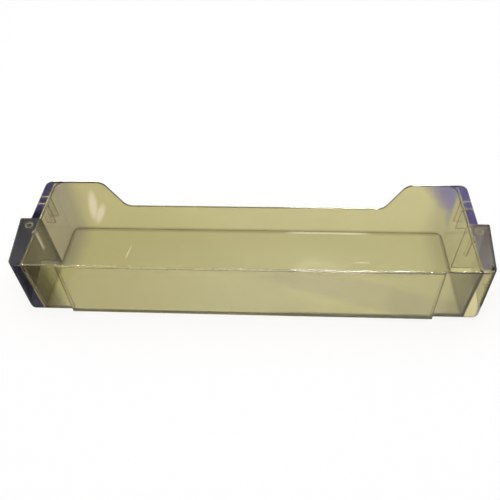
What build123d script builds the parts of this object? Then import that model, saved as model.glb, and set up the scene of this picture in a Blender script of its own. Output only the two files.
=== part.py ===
import math
import os

from build123d import *

# Fridge door shelf, moulded in one piece in clear plastic.
# Millimetres, +Z up, front towards -Y. The origin is the centre of the flat bottom.

# Overall sizes, all at the rim
length = 488.0  # over the tops of the two side boxes
depth = 120.0  # raised front panel to the rear of the back wall
height = 78.4  # flat bottom to the rim

# Sections
wall = 2.2  # upright walls, box tops and flanges
floor_thickness = 2.8

# Sides: a wide box in front of the step, a narrow flange behind it
box_width = 23.1  # inside of the tray to the outside of the box, at the step
flange_width = 11.6  # inside of the tray to the outer edge of the flange
box_depth = 63.3  # front wall to the step
foot_corner = 7.5  # round at the foot of the front wall; the boxes end where it begins
tray_taper = 3.7  # degrees in plan, the tray narrows towards the back
box_taper = 3.2  # degrees in plan, the boxes narrow towards the front
tray_draft = 2.0  # degrees, the tray narrows downwards
box_draft = 0.6  # degrees, the boxes widen downwards
flange_draft = 0.8  # degrees, outer edges of the flange and its ribs

# Front wall: a raised panel between two leaning flanks
flank_width = 33.0  # inside of the tray to the edge of the panel
panel_proud = 1.8  # panel in front of the flanks, at the rim
panel_recess = 0.7  # the same step on the inside of the wall
front_draft = 1.3  # degrees, the flanks only; the panel is upright

# Back wall: two full-height ears and a low middle
ear_width = 50.6  # inside of the tray to the top of the slope
low_height = 41.7
ear_slope = 59.5  # degrees
ear_radius = 12.0
foot_radius = 12.0
back_draft = 1.1  # degrees

# Lug seat under each flange, open below and at the side
lug_width = 8.3  # clear between the two ribs
rib_thickness = 1.8
rib_foot = 47.0  # lower end of the ribs above the flat bottom

# Guide rib on the tray wall inside each box
guide_width = 5.0
guide_proud = 1.6
guide_foot = 50.5
guide_setback = 19.0  # step to the middle of the rib

# Ejector mark on the top of each box
mark_diameter = 7.0
mark_sink = 0.3
mark_setback = 9.5  # step to the middle of the mark

# Rounded corners
back_corner = 7.5  # of the flanges, in plan
front_corner = 7.0  # of the boxes, in plan
tray_corner = 8.0  # inside the tray, in plan
floor_round = 1.2  # inside, where the walls meet the floor
step_corner = 1.5

# Values that follow
front_lean = math.tan(math.radians(front_draft))
back_lean = math.tan(math.radians(back_draft))
tray_lean = math.tan(math.radians(tray_draft))
box_lean = math.tan(math.radians(box_draft))
flange_lean = math.tan(math.radians(flange_draft))
tray_slant = math.tan(math.radians(tray_taper))
box_slant = math.tan(math.radians(box_taper))
panel_y = -depth / 2
flank_y = panel_y + panel_proud
back_y = depth / 2
step_y = flank_y + box_depth
tray_half = length / 2 - box_width
seat_y = (step_y + back_y - wall) / 2
panel_inside_y = flank_y + wall - panel_recess
rim_radius = wall / 3
over = 5.0  # cutting bodies run past the part by this much


# Each face as the place where it stands at a height z above the flat bottom
def flank_face(z):
    return flank_y + (height - z) * front_lean


def back_face(z):
    return back_y - (height - z) * back_lean


def tray_side(y, z):
    return tray_half - (y - step_y) * tray_slant - (height - z) * tray_lean


def flange_side(y, z):
    return tray_half + flange_width - (y - step_y) * tray_slant - (height - z) * flange_lean


def box_side(y, z):
    return length / 2 - (step_y - y) * box_slant + (height - z) * box_lean


panel_half = tray_side(flank_y + wall, height) - flank_width
ear_half = tray_side(back_y - wall, height) - ear_width
ear_run = 1 / math.tan(math.radians(ear_slope))
low_half = ear_half - (height - low_height) * ear_run


def both_sides(right):
    return right + [(-x, y) for x, y in reversed(right)]


# Plan of the whole outside
def outside(z):
    front, back = flank_face(z), back_face(z)
    return both_sides(
        [
            (panel_half, panel_y),
            (panel_half, front),
            (box_side(front, z), front),
            (box_side(step_y, z), step_y),
            (flange_side(step_y, z), step_y),
            (flange_side(back, z), back),
        ]
    )


# Plan of the space inside the tray
def inside(z):
    front, back = flank_face(z) + wall, back_face(z) - wall
    return both_sides(
        [
            (panel_half - wall, panel_inside_y),
            (panel_half - wall, front),
            (tray_side(front, z), front),
            (tray_side(back, z), back),
        ]
    )


# Plan of the space inside the boxes, straight across the tray
def box_space(z):
    front, step = flank_face(z) + wall, step_y - wall
    return both_sides(
        [
            (box_side(front, z) - wall, front),
            (box_side(step, z) - wall, step),
        ]
    )


# Plan of the tray with its side walls up to a given back, grown by a margin
def tray_with_walls(z, back, margin=0.0):
    front = panel_y - over
    return both_sides(
        [
            (tray_side(front, z) + wall + margin, front),
            (tray_side(back, z) + wall + margin, back),
        ]
    )


def upright(edge):
    return abs(edge.tangent_at(0.5).Z) > 0.9


def from_middle(edge):
    return abs(edge.center().X)


def in_front_half(edge):
    return edge.center().Y < step_y - box_depth / 2


def on_rim(edge):
    return abs(edge.center().Z - height) < 0.01


# Edges of the back wall's top, from one ear down through the low middle to the other ear
def on_low_edge(edge):
    across = abs(edge.tangent_at(0.5).Y) < 0.5
    at_back = edge.center().Y > back_face(low_height) - 1.5 * wall
    between = edge.bounding_box().max.X < ear_half + 2 * ear_radius
    between = between and edge.bounding_box().min.X > -ear_half - 2 * ear_radius
    above = low_height - 0.01 < edge.center().Z < height - 0.01
    return across and at_back and between and above


# The tray with its side and back walls as one block, rounded at the back
with BuildPart() as tray_block:
    for z in (-2 * over, height + over):
        with BuildSketch(Plane.XY.offset(z)):
            with BuildLine():
                Polyline(*tray_with_walls(z, back_face(z)), close=True)
            make_face()
    loft(ruled=True)
    fillet(tray_block.edges().filter_by(upright).group_by(Axis.Y)[-1], tray_corner + wall)

# The guide ribs: a bar with a round lower end across the shelf, kept near the tray wall
with BuildPart() as guide_ribs:
    with BuildSketch(Plane.YZ):
        with Locations((step_y - guide_setback, guide_foot + guide_width / 2)):
            Circle(guide_width / 2)
        with Locations((step_y - guide_setback, (guide_foot + guide_width / 2 + height) / 2)):
            Rectangle(guide_width, height - guide_foot - guide_width / 2)
    extrude(amount=length / 2, both=True)
    for z in (-over, height + over):
        with BuildSketch(Plane.XY.offset(z)):
            with BuildLine():
                Polyline(*tray_with_walls(z, back_y, guide_proud), close=True)
            make_face()
    loft(ruled=True, mode=Mode.INTERSECT)

# The hollow of the boxes, open below
with BuildPart() as hollows:
    for z in (-over, height - wall):
        with BuildSketch(Plane.XY.offset(z)):
            with BuildLine():
                Polyline(*box_space(z), close=True)
            make_face()
    loft(ruled=True)
    fillet(hollows.edges().filter_by(upright).group_by(Axis.Y)[0], front_corner - wall)
    add(tray_block.part, mode=Mode.SUBTRACT)
    add(guide_ribs.part, mode=Mode.SUBTRACT)

# What is taken away under the boxes
with BuildPart() as under_boxes:
    front = flank_face(0) + wall
    with Locations((0, front, foot_corner)):
        Box(
            2 * length,
            depth,
            foot_corner + over,
            align=(Align.CENTER, Align.MIN, Align.MAX),
        )
    add(tray_block.part, mode=Mode.SUBTRACT)

# What is taken away under the flanges, all but the ribs
with BuildPart() as under_flanges:
    with Locations((0, step_y, height - wall)):
        Box(2 * length, depth, height + over, align=(Align.CENTER, Align.MIN, Align.MAX))
    for side in (-1, 1):
        with Locations((0, seat_y + side * (lug_width + rib_thickness) / 2, rib_foot)):
            Box(
                2 * length,
                rib_thickness,
                height,
                align=(Align.CENTER, Align.CENTER, Align.MIN),
                mode=Mode.SUBTRACT,
            )
    add(tray_block.part, mode=Mode.SUBTRACT)

# The space inside the tray
with BuildPart() as tray_space:
    for z in (floor_thickness, height + over):
        with BuildSketch(Plane.XY.offset(z)):
            with BuildLine():
                Polyline(*inside(z), close=True)
            make_face()
    loft(ruled=True)
    fillet(tray_space.edges().filter_by(upright).group_by(Axis.Y)[-1], tray_corner)
    fillet(tray_space.faces().sort_by(Axis.Z)[0].edges(), floor_round)

# The shelf
with BuildPart() as door_shelf:
    for z in (0, height):
        with BuildSketch(Plane.XY.offset(z)):
            with BuildLine():
                Polyline(*outside(z), close=True)
            make_face()
    loft(ruled=True)
    fillet(door_shelf.edges().filter_by(upright).group_by(Axis.Y)[-1], back_corner)
    fillet(door_shelf.edges().filter_by(upright).sort_by(from_middle)[-2:], step_corner)
    front_edges = door_shelf.edges().filter_by(upright).filter_by(in_front_half)
    fillet(front_edges.sort_by(from_middle)[-2:], front_corner)
    add(tray_space.part, mode=Mode.SUBTRACT)
    add(hollows.part, mode=Mode.SUBTRACT)
    add(under_boxes.part, mode=Mode.SUBTRACT)
    add(under_flanges.part, mode=Mode.SUBTRACT)

    # Low middle of the back wall, with rounded ears
    with BuildSketch(Plane.XZ.offset(-back_y - over)) as low_middle:
        with BuildLine():
            Polyline(
                *both_sides([(low_half, low_height), (ear_half + over * ear_run, height + over)]),
                close=True,
            )
        make_face()
        fillet(low_middle.vertices().group_by(Axis.Y)[0], foot_radius)
    extrude(amount=3 * over, mode=Mode.SUBTRACT)
    ear_edges = door_shelf.edges().filter_by(Axis.Y).filter_by(on_rim)
    ear_edges = ear_edges.filter_by(lambda edge: abs(abs(edge.center().X) - ear_half) < 0.1)
    fillet(ear_edges, ear_radius)

    # Rounded lower corners of the front wall
    corner_x = box_side(flank_face(foot_corner), foot_corner) - foot_corner
    with BuildSketch(Plane.XZ.offset(-flank_face(0) - wall)):
        for side in (-1, 1):
            with Locations((side * corner_x, foot_corner)):
                Rectangle(
                    foot_corner + over,
                    foot_corner + over,
                    align=(Align.MIN if side > 0 else Align.MAX, Align.MAX),
                )
            with Locations((side * corner_x, foot_corner)):
                Circle(foot_corner, mode=Mode.SUBTRACT)
    extrude(amount=depth / 2, mode=Mode.SUBTRACT)

    # Rounded rim, all the way round
    rim_edges = door_shelf.edges().filter_by(on_rim)
    low_edges = door_shelf.edges().filter_by(on_low_edge)
    fillet(rim_edges + low_edges, rim_radius)

    # Ejector marks
    for side in (-1, 1):
        with Locations((side * (tray_half + box_width / 2), step_y - mark_setback, height)):
            Cylinder(mark_diameter / 2, 2 * mark_sink, mode=Mode.SUBTRACT)

door_shelf.part.label = "door_shelf"
os.makedirs("parts", exist_ok=True)
export_step(door_shelf.part, "parts/door_shelf.step")
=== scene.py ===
"""Fridge door shelf in clear, lightly tinted plastic, on a pale studio floor."""

import math

import bpy
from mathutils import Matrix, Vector


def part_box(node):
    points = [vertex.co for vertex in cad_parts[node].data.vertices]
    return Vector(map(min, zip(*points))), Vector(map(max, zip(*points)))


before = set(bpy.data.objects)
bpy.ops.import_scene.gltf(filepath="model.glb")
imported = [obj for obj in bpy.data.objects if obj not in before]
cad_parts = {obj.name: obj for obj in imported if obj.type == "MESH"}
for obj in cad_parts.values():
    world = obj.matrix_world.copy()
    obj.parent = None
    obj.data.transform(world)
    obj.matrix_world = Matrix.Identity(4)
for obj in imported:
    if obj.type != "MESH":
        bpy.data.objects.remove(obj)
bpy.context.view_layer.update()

bl_info = {
    "name": "Fridge Door Shelf",
    "version": (1, 0, 0),
    "blender": (4, 5, 0),
    "location": "3D View > Sidebar > Door Shelf",
    "description": "Finishes a moulded fridge door shelf in clear plastic and sets up its studio",
    "category": "Object",
}

SHELF = "door_shelf"
SHELF_LOW, SHELF_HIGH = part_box(SHELF)
MIDDLE = (SHELF_LOW + SHELF_HIGH) / 2
HEIGHT = SHELF_HIGH.z

# Places on the moulding, in metres, as in its drawing
WALL = 0.0022
TRAY_SLANT = math.tan(math.radians(3.7))
TRAY_LEAN = math.tan(math.radians(2.0))
BACK_LEAN = math.tan(math.radians(1.1))
BOX_SLANT = math.tan(math.radians(3.2))
BOX_LEAN = math.tan(math.radians(0.6))
HALF_LENGTH = 0.2440
BOX_WIDTH = 0.0231
TRAY_HALF = HALF_LENGTH - BOX_WIDTH
STEP_Y = 0.0051
FLANK_Y = -0.0582
BACK_Y = 0.0600
PANEL_HALF = 0.19185
LOW_EDGE = 0.0417
SEAT_Y = (STEP_Y + BACK_Y - WALL) / 2
RIB_OFFSET = 0.00505
GUIDE_Y = STEP_Y - 0.0190
GUIDE_FOOT = 0.0505
MARK_Y = STEP_Y - 0.0095
MARK_X = TRAY_HALF + BOX_WIDTH / 2
MARK_RADIUS = 0.0035

# Zones of the moulding, in metres. Each has a soft edge: it begins at its first place and is full
# from its second one on. A share is how strong a zone is where it is full.
LEFT_TO_RIGHT = (-0.10, 0.10)
FRONT_WALL = (FLANK_Y + 0.006, FLANK_Y + 0.003)
BEHIND_STEP = (STEP_Y - 0.001, STEP_Y + 0.001)
PAST_WALL = (1.15 * WALL, 1.6 * WALL)
GUIDE_SIDES = (0.0030, 0.0020)
GUIDE_END = (GUIDE_FOOT - 0.001, GUIDE_FOOT)
GUIDE_FACE = (0.0048, 0.0041)
LEVEL_FACE = (0.20, 0.45)  # upright part of the face's direction
RIM_HEIGHT = (LOW_EDGE - 0.004, LOW_EDGE - 0.002)
CREASE_AT_BACK = (0.0034, 0.0014)
CREASE_AT_SIDE = (-0.0030, -0.0014)
CREASE_HEIGHT = (0.0065, 0.0035)

# The sides outside the tray
FLANGE_TO_STEP = (STEP_Y + 0.018, STEP_Y + 0.004)
BOX_TO_REAR = (FLANK_Y + 0.010, STEP_Y - 0.010)
PALE_LINE = (0.0014, 0.0006)
RIB_SHARE = 0.75
MARK_SHARE = 0.7
BOX_CORNER = (FLANK_Y + 0.012, FLANK_Y + 0.008)
CORNER_EDGE = (0.0070, 0.0020)
BOX_EDGE = (0.0028, 0.0010)

# The walls between the tray and the boxes
SIDE_WALL = (-0.0012, -0.0004)
BEFORE_STEP = (STEP_Y + 0.001, STEP_Y - 0.002)
ABOVE_FLOOR = (0.002, 0.006)
NEAR_STEP = (STEP_Y - 0.012, STEP_Y - 0.003)
RIGHT_WALL_FOOT = (0.005, 0.010)
GUIDE_SHARE = 0.7

# The back wall and the floor of the tray
CLOUD = (0.35, 0.70)  # height of the noise
MIDDLE_TO_LEFT = (0.06, -0.19)
BACK_WALL = (0.016, 0.003)
BACK_FACE = (0.002, 0.001)
FLOOR_FACE = (0.0040, 0.0032)
# Painted shade in the corners of the back wall
CORNER_SHADE_PATCHES = 0.06
RIGHT_CORNER_SHADE_LEAN = 0.75
RIGHT_CORNER_SHADE = (0.234, 0.262)
RIGHT_CORNER_SHADE_SHARE = 0.95
LEFT_CORNER_SHADE_LEAN = 0.25
LEFT_CORNER_SHADE = (0.220, 0.234)
LEFT_CORNER_SHADE_SHARE = 0.8
LIGHT_CREASE_START = (0.030, 0.055)
LIGHT_CREASE_END = (0.140, 0.120)
LIGHT_CREASE_PLACE = 0.0016
LIGHT_CREASE_WIDTH = (0.0011, 0.0005)
LIGHT_CREASE_HEIGHT = (0.0052, 0.0042)

# Streaks: both ends and the half width
GLEAMS = (
    ((-0.1810, 0.0720), (-0.1890, 0.0100), 0.0068),
    ((-0.1705, 0.0480), (-0.1880, 0.0080), 0.0060),
)
GLEAM_SHARE = 0.65
LONG_PALE_STREAK = ((-0.1475, 0.0090), (-0.1420, 0.0350), 0.0009)

# The front wall
MIDDLE_TO_ENDS = (0.0, 0.16)
FLANKS = (-0.028, -0.014)
PANEL_BAND_LEAN = 0.40
PANEL_BAND_PLACE = 0.090
PANEL_BAND_WIDTH = (0.028, 0.016)
PANEL_BAND_START = (-0.02, 0.06)
PANEL_SIDE = (0.0013, 0.0005)
FOOT_START = (0.0, 0.06)
FOOT_HEIGHT = (0.0068, 0.0056)
FOOT_LINE = (0.0036, 0.0020)
FOOT_LINE_SHARE = 0.5
CORNER_PLACE = 0.4 * WALL
CORNER_LINE = (0.0019, 0.0009)
CORNER_SHARE = 0.7

# The rim
BACK_RIM = (0.0010, 0.0)
EAR_HEIGHT = (LOW_EDGE + 0.002, LOW_EDGE + 0.008)
FRONT_RIM = (FLANK_Y + 0.004, FLANK_Y + 0.003)
INSIDE_TRAY = (0.0, -0.004)
SIDE_RIM = (-0.0006, 0.0)
SIDE_RIM_END = (0.045, 0.030)
SIDE_RIM_SHARE = 0.45
OVER_FLANK = (-0.032, -0.028)

# Noises of the moulded surface: scale, detail and distortion
FLOW_NOISE = (14.0, 3.0, 0.6)
WAVE_NOISE = (45.0, 1.0)
SCRATCH_NOISE = (1.0, 2.0)
SCRATCH_TURN = (0.0, 0.4, 0.9)
SCRATCH_STRETCH = (30.0, 900.0, 700.0)
SCRATCHED = (0.66, 0.78)  # height of the scratch noise
SCRATCHED_PATCH = (0.45, 0.65)  # height of the flow noise

# Light is followed to and fro inside the clear walls
BOUNCES = 48
OPEN_BOUNCES = 24
FIRST_WALL_DEPTH = 1.5  # a ray that has gone through more faces than this is past the first wall

# Studio, in metres, watts and degrees
MATT = 0.9
CARD_FADE = (0.226, 0.190)
CARDS = (
    ("left_card", (-0.2575, -0.055), (0.145, 0.15)),
    ("right_card", (0.291, -0.04), (0.078, 0.12)),
)
SKY_RISE = (0.0, 0.8)
OVERHEAD_PLACE = (0.0, 0.2, 3.2)
OVERHEAD_SIZE = (4.0, 4.0)
RIGHT_RIM = Vector((0.12, FLANK_Y, HEIGHT))
LEFT_RIM = Vector((-0.17, FLANK_Y, HEIGHT))

# Lamps for the highlights: name, place, aim, spread, size, power, and seen through the plastic
EDGE_LIGHTS = (
    ("right_edge_light", (0.255, 1.00, 0.82), RIGHT_RIM, 30.0, (0.46, 0.34), 2.7, False),
    ("left_edge_light", (-0.52, 1.10, 0.55), LEFT_RIM, 30.0, (0.20, 0.25), 0.5, False),
    ("top_edge_light", (0.165, 0.47, 1.17), MIDDLE, 180.0, (0.23, 0.10), 40.0, True),
)


def colour_setting(name, description, default):
    return bpy.props.FloatVectorProperty(
        name=name,
        description=description,
        subtype="COLOR",
        size=3,
        min=0.0,
        max=1.0,
        default=default,
    )


def share_setting(name, description, default):
    return bpy.props.FloatProperty(
        name=name, description=description, subtype="FACTOR", min=0.0, max=1.0, default=default
    )


def length_setting(name, description, default):
    return bpy.props.FloatProperty(
        name=name, description=description, unit="LENGTH", min=0.0, precision=6, default=default
    )


def number_setting(name, description, default, least=0.0):
    return bpy.props.FloatProperty(name=name, description=description, min=least, default=default)


class PlasticSettings(bpy.types.PropertyGroup):
    """Colours and surface of the moulded plastic"""

    first_wall: colour_setting(
        "First wall", "What the first wall in sight leaves of white light", (0.575, 0.530, 0.273)
    )
    first_wall_cloud: colour_setting(
        "Cloud", "The first wall's tint in its slightly duller clouds", (0.554, 0.511, 0.262)
    )
    further_walls: colour_setting(
        "Further walls",
        "What each wall behind the first one leaves of white light",
        (0.99, 0.99, 0.98),
    )
    left_end_shade: colour_setting(
        "Left end shade", "How the tray's tint darkens towards its left end", (0.65, 0.64, 0.80)
    )
    right_end_shade: colour_setting(
        "Right end shade", "How the tray's tint darkens towards its right end", (0.80, 0.79, 0.82)
    )
    end_shade_reach: length_setting(
        "End shade reach", "How far the end shades reach into the tray", 0.03
    )
    left_wall_shade: colour_setting(
        "Left side wall", "Shade of the wall between the tray and the left box", (0.58, 0.58, 0.60)
    )
    # Painted light: a paler tint that lifts the shade of the right box seen through this wall
    right_wall: colour_setting(
        "Right side wall",
        "Tint of the wall between the tray and the right box",
        (0.690, 0.640, 0.335),
    )
    # Painted shade: darker tints of the side walls where they are seen through another wall
    left_wall_behind: colour_setting(
        "Left side wall, behind",
        "The left side wall's tint, seen through another wall",
        (0.56, 0.56, 0.52),
    )
    right_wall_behind: colour_setting(
        "Right side wall, behind",
        "The right side wall's tint, seen through another wall",
        (0.44, 0.43, 0.41),
    )
    # The smoke tints below are painted shade and reflections of dark surroundings, on the flanges,
    # the boxes and the front wall outside the tray
    left_flange: colour_setting(
        "Left flange", "Smoke tint of the left rear flange", (0.059, 0.049, 0.102)
    )
    left_step: colour_setting(
        "Left flange at the step",
        "Smoke tint of the left flange where it meets the box",
        (0.003, 0.002, 0.018),
    )
    left_box: colour_setting(
        "Left box", "Smoke tint of the left front box", (0.125, 0.127, 0.148)
    )
    left_front: colour_setting(
        "Left front",
        "Smoke tint of the front wall outside the tray, at the left",
        (0.050, 0.050, 0.066),
    )
    right_flange: colour_setting(
        "Right flange", "Smoke tint of the right rear flange", (0.113, 0.098, 0.226)
    )
    right_step: colour_setting(
        "Right flange at the step",
        "Smoke tint of the right flange where it meets the box",
        (0.096, 0.070, 0.181),
    )
    right_box: colour_setting(
        "Right box", "Smoke tint of the right front box", (0.463, 0.412, 0.395)
    )
    # Painted shade, darker from the front of the boxes to the step
    box_rear: colour_setting(
        "Box rear end",
        "How the boxes' smoke darkens from the front to the step",
        (0.70, 0.69, 0.66),
    )
    right_front: colour_setting(
        "Right front",
        "Smoke tint of the front wall outside the tray, at the right",
        (0.689, 0.621, 0.305),
    )
    # How much of the painted shade and reflections at the ends is lost behind the first wall
    painted_dark_loss_left: share_setting(
        "Left smoke loss", "How much weaker the left smoke tint is behind the first wall", 0.85
    )
    painted_dark_loss_right: share_setting(
        "Right smoke loss", "How much weaker the right smoke tint is behind the first wall", 0.95
    )
    # Painted shade in the corners of the back wall, where the dark ends are seen round the corners
    left_corner_shade: colour_setting(
        "Left haze", "Tint of the haze at the left of the back wall", (0.339, 0.299, 0.209)
    )
    right_corner_shade: colour_setting(
        "Right haze", "Tint of the haze at the right of the back wall", (0.232, 0.209, 0.322)
    )
    crease: colour_setting(
        "Creases", "Shade along the edges of the tray's floor", (0.72, 0.70, 0.67)
    )
    light_crease: colour_setting(
        "Light crease", "Tint where the floor's rear edge catches the light", (1.0, 0.98, 0.72)
    )
    foot_shade: colour_setting(
        "Foot", "Shade of the front wall's foot, at the right", (0.30, 0.29, 0.28)
    )
    front_shade: colour_setting(
        "Front", "How the front wall's tint darkens towards its ends", (0.93, 0.92, 0.84)
    )
    left_flank: colour_setting(
        "Left flank", "Shade of the front wall beside its left corner", (0.58, 0.56, 0.54)
    )
    right_flank: colour_setting(
        "Right flank", "Shade of the front wall beside its right corner", (0.92, 0.91, 0.84)
    )
    # A darker slanting band on the front panel
    panel_dark_band: colour_setting(
        "Panel haze", "Shade of the slanting haze on the front panel", (0.90, 0.885, 0.98)
    )
    panel_edge: colour_setting(
        "Panel edges", "Shade along the edges of the raised panel", (0.40, 0.38, 0.36)
    )
    ear_edge: colour_setting(
        "Ear edges", "Shade along the top of the back wall's ears", (0.15, 0.135, 0.22)
    )
    # Painted light: a paler tint on the rim along the front and on the left side wall's rim
    rim_painted_light: colour_setting(
        "Pale rim", "Tint of the rim along the front and on the left side wall", (0.92, 0.87, 0.60)
    )
    low_edge: colour_setting(
        "Low edge", "Shade along the low middle of the back wall's top", (0.70, 0.70, 0.70)
    )
    dark_edge: colour_setting(
        "Dark edges", "Shade of the edges at the right end", (0.12, 0.11, 0.10)
    )
    left_shade: colour_setting(
        "Left side", "How the tray's tint darkens from the middle to the left", (0.90, 0.885, 0.81)
    )
    # Painted highlights: the left ear's gleams and the left guide rib and corner; the long pale
    # streak on the floor takes the same tint
    gleam: colour_setting(
        "Gleams",
        "Tint of the left ear's gleams, the long scratch, and the left guide rib and corner",
        (0.80, 0.70, 0.52),
    )
    mirror: share_setting("Mirror", "Strength of the reflections on the surface", 0.6)
    roughness: share_setting("Roughness", "Roughness of the polished surface", 0.015)
    front_rim_roughness: share_setting(
        "Front rim roughness", "How much rougher the front wall's rim is", 0.15
    )
    rim_roughness: share_setting(
        "Rim roughness", "How much rougher the rest of the rim and the tops of the sides are", 0.06
    )
    scratch_roughness: share_setting(
        "Scratch roughness", "How much rougher the fine scratches are", 0.12
    )
    scratch_depth: length_setting("Scratch depth", "Depth of the fine scratches", 4e-06)
    wave_height: length_setting(
        "Wave height", "Height of the slow waves in the moulded surface", 2.5e-05
    )
    refraction: number_setting(
        "Refractive index", "Index of refraction of the plastic", 1.49, least=1.0
    )
    density: number_setting(
        "Body tint", "How fast the plastic takes light along its own depth, per metre", 7.0
    )
    body: colour_setting(
        "Body colour",
        "Colour of light that has gone a long way inside the plastic",
        (0.52, 0.50, 0.30),
    )
    lamp_share: colour_setting(
        "Lamp light",
        "What each face lets through of the light that falls on the floor",
        (0.965, 0.965, 0.955),
    )


class StageSettings(bpy.types.PropertyGroup):
    """Floor, lamps, surroundings and camera"""

    floor_colour: colour_setting("Floor", "Colour of the floor", (0.97, 0.97, 0.97))
    floor_size: length_setting("Floor size", "Length of the floor's sides", 16.0)
    card_colour: colour_setting("Cards", "Colour of the cards beside both ends", (0.03, 0.03, 0.04))
    floor_gap: length_setting("Floor gap", "How far the floor lies below the shelf", 0.0002)
    horizon: colour_setting("Horizon", "Light of the surroundings, low down", (0.85, 0.85, 0.85))
    zenith: colour_setting("Zenith", "Light of the surroundings, high up", (0.30, 0.30, 0.31))
    overhead_power: number_setting("Overhead lamp", "Power of the overhead lamp in watts", 98.0)
    overhead_colour: colour_setting(
        "Overhead colour", "Colour of the overhead lamp", (1.0, 0.99, 0.975)
    )
    edge_colour: colour_setting(
        "Edge light colour", "Colour of the lamps for the highlights", (1.0, 0.98, 0.94)
    )
    camera_place: bpy.props.FloatVectorProperty(
        name="Camera",
        description="Where the camera stands",
        subtype="TRANSLATION",
        unit="LENGTH",
        size=3,
        default=(0.042166, -0.442232, 0.586777),
    )
    camera_turn: bpy.props.FloatVectorProperty(
        name="Camera rotation",
        description="How the camera is turned",
        subtype="EULER",
        unit="ROTATION",
        size=3,
        default=(math.radians(38.8737), math.radians(2.1553), math.radians(2.9488)),
    )
    lens: number_setting("Lens", "Focal length in millimetres", 47.0, least=1.0)


class Graph:
    """Adds nodes to one shader tree. An operand is a socket, a number or a colour."""

    def __init__(self, tree):
        self.tree = tree

    def node(self, kind, **settings):
        """A new node with its properties set."""
        node = self.tree.nodes.new(kind)
        for name, value in settings.items():
            setattr(node, name, value)
        return node

    def feed(self, socket, operand):
        """Link a socket to an operand, or set it to the operand's value."""
        if isinstance(operand, bpy.types.NodeSocket):
            self.tree.links.new(operand, socket)
        elif socket.type == "RGBA":
            socket.default_value = (*operand, 1.0)
        else:
            socket.default_value = operand

    def calculate(self, operation, first, second=None):
        """A Math node's result."""
        node = self.node("ShaderNodeMath", operation=operation)
        self.feed(node.inputs[0], first)
        if second is not None:
            self.feed(node.inputs[1], second)
        return node.outputs[0]

    def add(self, first, second):
        return self.calculate("ADD", first, second)

    def less(self, first, second):
        """The first operand less the second."""
        return self.calculate("SUBTRACT", first, second)

    def rest(self, share):
        """What a share leaves of one."""
        return self.less(1.0, share)

    def times(self, first, *others):
        for other in others:
            first = self.calculate("MULTIPLY", first, other)
        return first

    def either(self, first, second):
        """The larger of two masks."""
        return self.calculate("MAXIMUM", first, second)

    def size(self, value):
        """A value without its sign."""
        return self.calculate("ABSOLUTE", value)

    def gap(self, value, place):
        """How far a value is from a place, either way."""
        return self.size(self.less(value, place))

    def split(self, vector):
        """The three parts of a vector."""
        node = self.node("ShaderNodeSeparateXYZ")
        self.feed(node.inputs[0], vector)
        return node.outputs

    def ramp(self, value, start, end, low=0.0, high=1.0):
        """Value brought smoothly from the range start to end into low to high."""
        node = self.node("ShaderNodeMapRange", interpolation_type="SMOOTHSTEP")
        for name, operand in zip(
            ("Value", "From Min", "From Max", "To Min", "To Max"), (value, start, end, low, high)
        ):
            self.feed(node.inputs[name], operand)
        return node.outputs["Result"]

    def mix(self, factor, first, second, blend="MIX"):
        """Two colours mixed."""
        node = self.node("ShaderNodeMix", data_type="RGBA", blend_type=blend)
        for index, operand in zip((0, 6, 7), (factor, first, second)):
            self.feed(node.inputs[index], operand)
        return node.outputs[2]

    def shade(self, mask, colour, tint):
        """A colour darkened by a tint where the mask is."""
        return self.mix(mask, colour, tint, "MULTIPLY")

    def streak(self, place, start, end, width):
        """A mask in the shape of a slim leaf between two points, soft at its edges."""
        run = end[0] - start[0], end[1] - start[1]
        half = math.hypot(*run) / 2
        parts = [
            self.less(part, (low + high) / 2) for part, low, high in zip(place, start, end)
        ]
        along = self.add(self.times(parts[0], run[0] / 2), self.times(parts[1], run[1] / 2))
        aside = self.add(self.times(parts[0], run[1] / 2), self.times(parts[1], -run[0] / 2))
        along = self.times(along, 1 / half**2)
        aside = self.times(aside, 1 / (half * width))
        reach = self.add(self.times(along, along), self.times(aside, aside))
        return self.ramp(reach, 1.0, 0.0)

    def noise(self, place, scale, detail, distortion=0.0):
        """Noise between 0 and 1."""
        node = self.node("ShaderNodeTexNoise", noise_dimensions="3D")
        for name, operand in zip(
            ("Vector", "Scale", "Detail", "Distortion"), (place, scale, detail, distortion)
        ):
            self.feed(node.inputs[name], operand)
        return node.outputs["Fac"]


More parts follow.
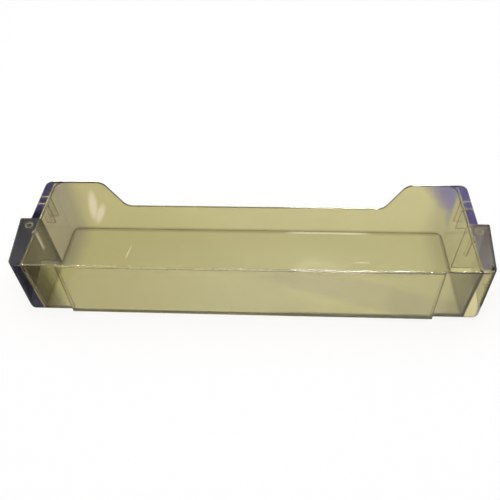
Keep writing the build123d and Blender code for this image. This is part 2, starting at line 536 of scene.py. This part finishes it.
class Moulding:
    """Where a shaded point lies on the shelf, as sockets of one graph."""

    def __init__(self, graph):
        g = graph
        self.place = g.node("ShaderNodeTexCoord").outputs["Object"]
        self.x, self.y, self.z = g.split(self.place)
        self.across = g.size(self.x)
        self.flow = g.noise(self.place, *FLOW_NOISE)
        below = g.less(HEIGHT, self.z)
        past_step = g.less(self.y, STEP_Y)

        # Outwards from the inside of the tray's side walls
        side = g.add(g.times(past_step, TRAY_SLANT), g.times(below, TRAY_LEAN))
        self.beyond = g.less(g.add(self.across, side), TRAY_HALF)

        # Inwards from the outside of the boxes
        outer = g.add(g.times(past_step, BOX_SLANT), g.times(below, BOX_LEAN))
        self.from_outside = g.less(g.add(outer, HALF_LENGTH), self.across)

        # Forwards from the inside of the back wall
        back = g.less(BACK_Y - WALL, g.times(below, BACK_LEAN))
        self.from_back = g.less(back, self.y)

        self.at_right = g.ramp(self.x, *LEFT_TO_RIGHT)
        self.at_left = g.rest(self.at_right)
        self.in_front_wall = g.ramp(self.y, *FRONT_WALL)
        behind_front = g.rest(self.in_front_wall)
        self.behind_step = g.ramp(self.y, *BEHIND_STEP)
        self.on_guide = g.times(
            g.ramp(g.gap(self.y, GUIDE_Y), *GUIDE_SIDES),
            g.ramp(self.z, *GUIDE_END),
            g.ramp(self.beyond, *GUIDE_FACE),
        )
        self.outside_tray = g.times(g.ramp(self.beyond, *PAST_WALL), g.rest(self.on_guide))

        # The rim and the tops of the sides
        normal = g.node("ShaderNodeNewGeometry").outputs["Normal"]
        level = g.ramp(g.size(g.split(normal)[2]), *LEVEL_FACE)
        self.on_rim = g.times(level, g.ramp(self.z, *RIM_HEIGHT))

        # Along the edges of the tray's floor
        at_wall = g.either(
            g.ramp(self.from_back, *CREASE_AT_BACK), g.ramp(self.beyond, *CREASE_AT_SIDE)
        )
        self.in_crease = g.times(g.ramp(self.z, *CREASE_HEIGHT), behind_front, at_wall)

        # The walls between the tray and the boxes
        self.in_side_wall = g.times(
            g.ramp(self.beyond, *SIDE_WALL),
            g.ramp(self.y, *BEFORE_STEP),
            g.ramp(self.z, *ABOVE_FLOOR),
            behind_front,
        )
        self.in_left_wall = g.times(self.in_side_wall, self.at_left)
        self.in_right_wall = g.times(self.in_side_wall, self.at_right)


def painted_dark_ends(g, at, settings):
    """Painted shade and reflections of dark surroundings on the sides outside the tray: front wall,
    box and flange, left and right.
    """
    to_step = g.ramp(at.y, *FLANGE_TO_STEP)
    left = g.mix(to_step, settings.left_flange, settings.left_step)
    right = g.mix(to_step, settings.right_flange, settings.right_step)
    flange = g.mix(at.at_right, left, right)
    box = g.mix(at.at_right, settings.left_box, settings.right_box)
    front = g.mix(at.at_right, settings.left_front, settings.right_front)
    box = g.shade(g.ramp(at.y, *BOX_TO_REAR), box, settings.box_rear)
    painted_dark = g.mix(at.behind_step, box, flange)
    painted_dark = g.mix(at.in_front_wall, painted_dark, front)

    # Painted light: paler where the ribs and the ejector marks meet the top
    from_rib = g.gap(g.gap(at.y, SEAT_Y), RIB_OFFSET)
    on_rib = g.times(g.ramp(from_rib, *PALE_LINE, high=RIB_SHARE), at.behind_step)
    mark_x = g.less(at.across, MARK_X)
    mark_y = g.less(at.y, MARK_Y)
    from_mark = g.calculate("SQRT", g.add(g.times(mark_x, mark_x), g.times(mark_y, mark_y)))
    on_ring = g.ramp(g.gap(from_mark, MARK_RADIUS), *PALE_LINE, high=MARK_SHARE)
    painted_dark = g.mix(g.either(on_rib, on_ring), painted_dark, settings.first_wall)

    # Painted shade along the outer edges of the right box
    at_corner = g.ramp(at.y, *BOX_CORNER)
    edge = g.times(g.ramp(at.from_outside, *CORNER_EDGE), at.at_right, at_corner)
    top_edge = g.times(g.ramp(at.from_outside, *BOX_EDGE), at.at_right)
    return g.shade(g.either(edge, top_edge), painted_dark, settings.dark_edge)


def end_shades(g, at, settings, tint):
    """Painted shade, darker towards the left and towards both ends."""
    tint = g.shade(g.ramp(at.x, *MIDDLE_TO_LEFT), tint, settings.left_shade)
    reached = g.ramp(at.beyond, -settings.end_shade_reach, 0.0)
    near_end = g.times(reached, g.rest(at.in_right_wall))
    end_shade = g.mix(at.at_right, settings.left_end_shade, settings.right_end_shade)
    return g.shade(near_end, tint, end_shade)


def painted_corner_shade(g, at, settings, tint):
    """Painted shade in the corners of the back wall, patchy at the right, where the dark ends are
    seen round the corners.
    """
    on_back = g.ramp(at.from_back, *BACK_WALL)
    patch = g.times(g.less(at.flow, 0.5), CORNER_SHADE_PATCHES)
    slant = g.add(g.add(at.x, g.times(at.z, RIGHT_CORNER_SHADE_LEAN)), patch)
    darker_zone = g.times(g.ramp(slant, *RIGHT_CORNER_SHADE, high=RIGHT_CORNER_SHADE_SHARE), on_back)
    tint = g.mix(darker_zone, tint, settings.right_corner_shade)
    slant = g.less(g.times(at.z, LEFT_CORNER_SHADE_LEAN), at.x)
    darker_zone = g.times(g.ramp(slant, *LEFT_CORNER_SHADE, high=LEFT_CORNER_SHADE_SHARE), on_back)
    return g.mix(darker_zone, tint, settings.left_corner_shade)


def floor_lines(g, at, settings, tint):
    """Painted shade along the edges of the floor, a painted highlight in one stretch, and painted
    shade on the front wall's foot.
    """
    tint = g.shade(at.in_crease, tint, settings.crease)
    in_light = g.times(
        g.ramp(at.x, *LIGHT_CREASE_START),
        g.ramp(at.x, *LIGHT_CREASE_END),
        g.ramp(g.gap(at.from_back, LIGHT_CREASE_PLACE), *LIGHT_CREASE_WIDTH),
        g.ramp(at.z, *LIGHT_CREASE_HEIGHT),
    )
    tint = g.mix(in_light, tint, settings.light_crease)
    foot = g.times(g.ramp(at.z, *FOOT_HEIGHT), g.ramp(at.x, *FOOT_START), at.in_front_wall)
    return g.shade(foot, tint, settings.foot_shade)


def front_shades(g, at, settings, tint):
    """Front wall: darker towards its ends, with a darker slanting band and painted shade on its
    flanks.
    """
    to_ends = g.times(g.ramp(at.across, *MIDDLE_TO_ENDS), at.in_front_wall)
    tint = g.shade(to_ends, tint, settings.front_shade)
    slant = g.add(at.z, g.times(at.x, PANEL_BAND_LEAN))
    darker_zone = g.times(
        g.ramp(g.gap(slant, PANEL_BAND_PLACE), *PANEL_BAND_WIDTH),
        g.ramp(at.x, *PANEL_BAND_START),
        at.in_front_wall,
    )
    tint = g.shade(darker_zone, tint, settings.panel_dark_band)
    flank = g.times(g.ramp(at.beyond, *FLANKS), at.in_front_wall)
    flank_shade = g.mix(at.at_right, settings.left_flank, settings.right_flank)
    return g.shade(flank, tint, flank_shade)


def pale_gleams(g, at, settings, tint):
    """Painted gleams of light on the left ear, and one long pale streak on the floor."""
    gleams = g.either(*(g.streak((at.x, at.z), *gleam) for gleam in GLEAMS))
    gleams = g.times(gleams, g.ramp(at.from_back, *BACK_FACE), GLEAM_SHARE)
    pale_streak = g.times(g.streak((at.x, at.y), *LONG_PALE_STREAK), g.ramp(at.z, *FLOOR_FACE))
    return g.mix(g.either(gleams, pale_streak), tint, settings.gleam)


def panel_lines(g, at, settings, tint):
    """Painted shade: dark lines along the sides and the foot of the raised panel."""
    beside = g.ramp(g.gap(at.across, PANEL_HALF), *PANEL_SIDE)
    below = g.times(g.ramp(at.z, *FOOT_LINE), g.ramp(at.x, *FOOT_START, high=FOOT_LINE_SHARE))
    lines = g.times(g.either(beside, below), at.in_front_wall)
    return g.shade(lines, tint, settings.panel_edge)


def rim_tints(g, at, settings, tint):
    """The rim: painted shade at the back and over the right flank, painted light at the front and
    the left.
    """
    at_back = g.times(at.on_rim, g.ramp(at.from_back, *BACK_RIM))
    edge = g.mix(g.ramp(at.z, *EAR_HEIGHT), settings.low_edge, settings.ear_edge)
    tint = g.shade(at_back, tint, edge)

    front = g.times(g.ramp(at.y, *FRONT_RIM), g.ramp(at.beyond, *INSIDE_TRAY))
    ahead = g.ramp(at.y, *SIDE_RIM_END)
    side = g.times(g.ramp(at.beyond, *SIDE_RIM), at.at_left, ahead, SIDE_RIM_SHARE)
    tint = g.mix(g.times(at.on_rim, g.either(front, side)), tint, settings.rim_painted_light)

    over_flank = g.times(g.ramp(at.beyond, *OVER_FLANK), at.at_right, at.in_front_wall)
    return g.shade(g.times(at.on_rim, over_flank), tint, settings.dark_edge)


def corner_lines(g, at, settings, tint):
    """Where the side walls meet the front wall: painted light at the left, painted shade at the
    right.
    """
    corner = g.times(g.ramp(g.gap(at.beyond, CORNER_PLACE), *CORNER_LINE), at.in_front_wall)
    tint = g.mix(g.times(corner, at.at_left, CORNER_SHARE), tint, settings.gleam)
    return g.shade(g.times(corner, at.at_right), tint, settings.dark_edge)


def side_wall_tints(g, at, settings, tint):
    """The walls beside the tray: painted shade at the left, painted light at its guide rib and at
    the right.
    """
    beside_guide = g.times(at.in_left_wall, g.rest(at.on_guide))
    tint = g.shade(beside_guide, tint, settings.left_wall_shade)
    near_step = g.times(at.in_left_wall, g.ramp(at.y, *NEAR_STEP))
    tint = g.shade(near_step, tint, settings.left_wall_shade)
    tint = g.mix(g.times(at.in_left_wall, at.on_guide, GUIDE_SHARE), tint, settings.gleam)
    in_right_wall = g.times(at.in_right_wall, g.ramp(at.z, *RIGHT_WALL_FOOT))
    return g.mix(in_right_wall, tint, settings.right_wall)


def tray_tint(g, at, settings):
    """Colour of the tray where it is the first wall in sight."""
    tint = g.mix(g.ramp(at.flow, *CLOUD), settings.first_wall, settings.first_wall_cloud)
    for layer in (
        end_shades,
        painted_corner_shade,
        floor_lines,
        front_shades,
        pale_gleams,
        panel_lines,
        rim_tints,
        corner_lines,
        side_wall_tints,
    ):
        tint = layer(g, at, settings, tint)
    return tint


def plastic_colour(g, at, settings, further):
    """Colour of each face: full in the first wall in sight, and much weaker further on."""
    # Painted shade on the side walls where they are seen through another wall
    wall_behind = g.mix(at.at_right, settings.left_wall_behind, settings.right_wall_behind)
    behind = g.mix(at.in_side_wall, settings.further_walls, wall_behind)
    behind = g.shade(at.in_crease, behind, settings.crease)
    tint = g.mix(further, tray_tint(g, at, settings), behind)
    # The painted shade and reflections of the dark ends are weaker where they are seen through
    # another wall
    loss = g.ramp(at.x, *LEFT_TO_RIGHT, settings.painted_dark_loss_left, settings.painted_dark_loss_right)
    strength = g.rest(g.times(further, loss))
    return g.mix(g.times(at.outside_tray, strength), tint, painted_dark_ends(g, at, settings))


def moulded_surface(g, at, settings):
    """Roughness and normal: slow waves, fine scratches that also dull the surface, a worn rim."""
    waves = g.noise(at.place, *WAVE_NOISE)
    stretch = g.node("ShaderNodeMapping")
    g.feed(stretch.inputs["Vector"], at.place)
    stretch.inputs["Rotation"].default_value = SCRATCH_TURN
    stretch.inputs["Scale"].default_value = SCRATCH_STRETCH
    hairs = g.noise(stretch.outputs[0], *SCRATCH_NOISE)
    scratches = g.times(g.ramp(hairs, *SCRATCHED), g.ramp(at.flow, *SCRATCHED_PATCH))
    worn = g.ramp(
        at.in_front_wall, 0.0, 1.0, settings.rim_roughness, settings.front_rim_roughness
    )
    dulled = g.either(g.times(scratches, settings.scratch_roughness), g.times(at.on_rim, worn))
    raised = g.times(waves, g.rest(at.on_rim), settings.wave_height)
    bump = g.node("ShaderNodeBump")
    bump.inputs["Strength"].default_value = 1.0
    bump.inputs["Distance"].default_value = 1.0
    g.feed(bump.inputs["Height"], g.less(raised, g.times(scratches, settings.scratch_depth)))
    return g.add(settings.roughness, dulled), bump.outputs[0]


def clear_plastic(settings):
    """Clear plastic with an olive tint, with painted shade and reflections of dark surroundings
    towards both ends.
    """
    material = bpy.data.materials.new("clear_plastic")
    material.use_nodes = True
    material.node_tree.nodes.clear()
    g = Graph(material.node_tree)
    at = Moulding(g)
    path = g.node("ShaderNodeLightPath").outputs
    further = g.calculate("GREATER_THAN", path["Transmission Depth"], FIRST_WALL_DEPTH)
    roughness, normal = moulded_surface(g, at, settings)

    plastic = g.node("ShaderNodeBsdfPrincipled")
    plastic.inputs["IOR"].default_value = settings.refraction
    plastic.inputs["Transmission Weight"].default_value = 1.0
    plastic.inputs["Specular Tint"].default_value = (*(settings.mirror,) * 3, 1.0)
    g.feed(plastic.inputs["Base Color"], plastic_colour(g, at, settings, further))
    g.feed(plastic.inputs["Roughness"], roughness)
    g.feed(plastic.inputs["Normal"], normal)

    # Lamps shine through to the floor
    open_way = g.node("ShaderNodeBsdfTransparent")
    open_way.inputs["Color"].default_value = (*settings.lamp_share, 1.0)
    shader = plastic.outputs[0]
    for ray in ("Is Shadow Ray", "Is Diffuse Ray"):
        choice = g.node("ShaderNodeMixShader")
        g.feed(choice.inputs[0], path[ray])
        g.feed(choice.inputs[1], shader)
        g.feed(choice.inputs[2], open_way.outputs[0])
        shader = choice.outputs[0]

    inside = g.node("ShaderNodeVolumeAbsorption")
    inside.inputs["Color"].default_value = (*settings.body, 1.0)
    inside.inputs["Density"].default_value = settings.density

    out = g.node("ShaderNodeOutputMaterial")
    g.feed(out.inputs["Surface"], shader)
    g.feed(out.inputs["Volume"], inside.outputs[0])
    return material


class DOORSHELF_OT_shelf(bpy.types.Operator):
    """Give the moulded shelf its clear plastic"""

    bl_idname = "doorshelf.shelf"
    bl_label = "Clear Plastic Shelf"

    def execute(self, context):
        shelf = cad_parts[SHELF]
        shelf.data.materials.clear()
        shelf.data.materials.append(clear_plastic(context.scene.shelf_plastic))
        return {"FINISHED"}


def matt_paint(name):
    """A new material without gloss, and its shader."""
    material = bpy.data.materials.new(name)
    material.use_nodes = True
    paint = material.node_tree.nodes["Principled BSDF"]
    paint.inputs["Roughness"].default_value = MATT
    paint.inputs["Specular IOR Level"].default_value = 0.0
    return material, paint


def add_floor(settings):
    """The floor, a hair lower than the shelf, so that their faces stay apart."""
    bpy.ops.mesh.primitive_plane_add(
        size=settings.floor_size, location=(0.0, 0.0, -settings.floor_gap)
    )
    floor = bpy.context.object
    floor.name = "studio_floor"
    material, paint = matt_paint("studio_floor")
    paint.inputs["Base Color"].default_value = (*settings.floor_colour, 1.0)
    floor.data.materials.append(material)


def add_cards(settings):
    """Dark cards beside both ends, only seen as reflections in the plastic.

    Towards the middle they fade to the floor's colour."""
    material, paint = matt_paint("dark_card")
    g = Graph(material.node_tree)
    across = g.size(g.split(g.node("ShaderNodeNewGeometry").outputs["Position"])[0])
    fade = g.ramp(across, *CARD_FADE)
    g.feed(paint.inputs["Base Color"], g.mix(fade, settings.card_colour, settings.floor_colour))
    for name, place, size in CARDS:
        bpy.ops.mesh.primitive_plane_add(size=1.0, location=(*place, -settings.floor_gap / 2))
        card = bpy.context.object
        card.name = name
        card.scale = (*size, 1.0)
        card.data.materials.append(material)
        card.visible_camera = False
        card.visible_diffuse = False
        card.visible_transmission = False
        card.visible_shadow = False


def add_sky(scene, settings):
    """Plain surroundings, lighter at the horizon."""
    world = bpy.data.worlds.new("studio")
    scene.world = world
    world.use_nodes = True
    g = Graph(world.node_tree)
    direction = g.node("ShaderNodeTexCoord").outputs["Generated"]
    rise = g.ramp(g.split(direction)[2], *SKY_RISE)
    sky = g.mix(rise, settings.horizon, settings.zenith)
    g.feed(world.node_tree.nodes["Background"].inputs["Color"], sky)


def add_lamp(name, place, aim, size, power, colour):
    """A rectangular soft lamp that looks at a point."""
    data = bpy.data.lights.new(name, "AREA")
    data.shape = "RECTANGLE"
    data.size, data.size_y = size
    data.energy = power
    data.color = colour
    lamp = bpy.data.objects.new(name, data)
    bpy.context.scene.collection.objects.link(lamp)
    lamp.location = place
    direction = aim - lamp.location
    lamp.rotation_euler = direction.to_track_quat("-Z", "Y").to_euler()
    return lamp


def add_lamps(settings):
    """One wide lamp overhead for the floor, and small lamps for the highlights along the edges."""
    overhead = add_lamp(
        "overhead",
        OVERHEAD_PLACE,
        MIDDLE,
        OVERHEAD_SIZE,
        settings.overhead_power,
        settings.overhead_colour,
    )
    overhead.visible_glossy = False
    overhead.visible_transmission = False
    for name, place, aim, spread, size, power, seen_through in EDGE_LIGHTS:
        lamp = add_lamp(name, place, aim, size, power, settings.edge_colour)
        lamp.data.spread = math.radians(spread)
        lamp.visible_diffuse = False
        lamp.visible_transmission = seen_through


def add_camera(scene, settings):
    """The camera, at the photo's angle."""
    lens = bpy.data.cameras.new("camera")
    lens.lens = settings.lens
    camera = bpy.data.objects.new("camera", lens)
    scene.collection.objects.link(camera)
    camera.location = settings.camera_place
    camera.rotation_euler = settings.camera_turn
    scene.camera = camera


class DOORSHELF_OT_stage(bpy.types.Operator):
    """Set up the floor, the lamps, the surroundings and the camera"""

    bl_idname = "doorshelf.stage"
    bl_label = "Studio"

    def execute(self, context):
        scene = context.scene
        settings = scene.shelf_stage
        scene.view_settings.view_transform = "Standard"
        scene.cycles.max_bounces = BOUNCES
        scene.cycles.glossy_bounces = BOUNCES
        scene.cycles.transmission_bounces = BOUNCES
        scene.cycles.transparent_max_bounces = OPEN_BOUNCES
        add_floor(settings)
        add_cards(settings)
        add_sky(scene, settings)
        add_lamps(settings)
        add_camera(scene, settings)
        return {"FINISHED"}


class DOORSHELF_PT_panel(bpy.types.Panel):
    """Door shelf tools in the 3D view's sidebar"""

    bl_idname = "DOORSHELF_PT_panel"
    bl_label = "Door Shelf"
    bl_space_type = "VIEW_3D"
    bl_region_type = "UI"
    bl_category = "Door Shelf"

    def draw(self, context):
        layout = self.layout
        for operator, settings in (
            (DOORSHELF_OT_shelf, context.scene.shelf_plastic),
            (DOORSHELF_OT_stage, context.scene.shelf_stage),
        ):
            layout.operator(operator.bl_idname)
            column = layout.column(align=True)
            for name in settings.__annotations__:
                column.prop(settings, name)


CLASSES = (
    PlasticSettings,
    StageSettings,
    DOORSHELF_OT_shelf,
    DOORSHELF_OT_stage,
    DOORSHELF_PT_panel,
)


def register():
    for each in CLASSES:
        bpy.utils.register_class(each)
    bpy.types.Scene.shelf_plastic = bpy.props.PointerProperty(type=PlasticSettings)
    bpy.types.Scene.shelf_stage = bpy.props.PointerProperty(type=StageSettings)


def unregister():
    del bpy.types.Scene.shelf_stage
    del bpy.types.Scene.shelf_plastic
    for each in reversed(CLASSES):
        bpy.utils.unregister_class(each)


def main():
    register()
    bpy.ops.doorshelf.shelf()
    bpy.ops.doorshelf.stage()


if __name__ == "__main__":
    main()
